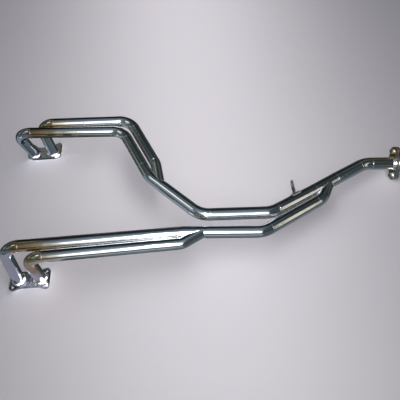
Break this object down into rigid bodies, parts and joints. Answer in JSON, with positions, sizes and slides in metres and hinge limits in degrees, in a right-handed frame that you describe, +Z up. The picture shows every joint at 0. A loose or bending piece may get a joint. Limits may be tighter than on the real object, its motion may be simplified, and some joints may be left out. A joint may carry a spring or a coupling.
{
  "type": "racing exhaust system",
  "caption": "Polished stainless tubular exhaust for a flat engine: paired primary tubes from plate head flanges, slip joints, a Y junction and a bolted outlet.",
  "frame": {"origin": "centre of the right head flange's gasket face, which lies on the floor", "axes": "+X along the gas flow from the heads to the outlet, +Y from the right bank to the left bank, +Z up from the floor"},
  "size_m": [1.4626, 0.615, 0.1822],
  "materials": {
    "polished_tube": "mirror-polished stainless steel",
    "flange_plate": "machined and lightly polished",
    "bracket": "satin",
    "hardware": "zinc plated",
    "gasket": "graphite fibre"
  },
  "bodies": {
    "rear_section": {"right_secondary_run": "polished_tube", "right_secondary_bend": "polished_tube", "right_secondary_riser": "polished_tube", "left_secondary_drop": "polished_tube", "left_secondary_elbow": "polished_tube", "left_secondary_run": "polished_tube", "left_secondary_bend": "polished_tube", "left_secondary_riser": "polished_tube", "hanger_tab": "bracket", "hanger_pad": "bracket", "y_collector": "polished_tube", "tail_pipe_riser": "polished_tube", "tail_pipe_bend": "polished_tube", "tail_pipe_end": "polished_tube", "tail_collar": "bracket", "tail_flange": "flange_plate", "tail_gasket": "gasket", "outlet_flange": "flange_plate", "outlet_stub": "polished_tube", "tail_flange_washers": "hardware", "tail_flange_bolts": "hardware", "tail_flange_nuts": "hardware"},
    "right_header": {"right_head_flange": "flange_plate", "right_front_primary_bend": "polished_tube", "right_front_primary_run": "polished_tube", "right_rear_primary_bend": "polished_tube", "right_rear_primary_run": "polished_tube", "right_collector": "polished_tube", "right_slip_spigot": "polished_tube"},
    "left_header": {"left_head_flange": "flange_plate", "left_front_primary_bend": "polished_tube", "left_front_primary_run": "polished_tube", "left_front_primary_elbow": "polished_tube", "left_front_primary_drop": "polished_tube", "left_rear_primary_bend": "polished_tube", "left_rear_primary_run": "polished_tube", "left_rear_primary_elbow": "polished_tube", "left_rear_primary_drop": "polished_tube", "left_collector": "polished_tube", "left_slip_spigot": "polished_tube"}
  },
  "joints": [
    {"name": "right_slip_joint", "type": "slide", "parent": "rear_section", "child": "right_header", "axis": [-0.9958, 0.0266, 0.0871], "range_m": [0, 0.04]},
    {"name": "left_slip_joint", "type": "slide", "parent": "rear_section", "child": "left_header", "axis": [-0.7112, 0.7002, 0.0622], "range_m": [0, 0.04]}
  ]
}
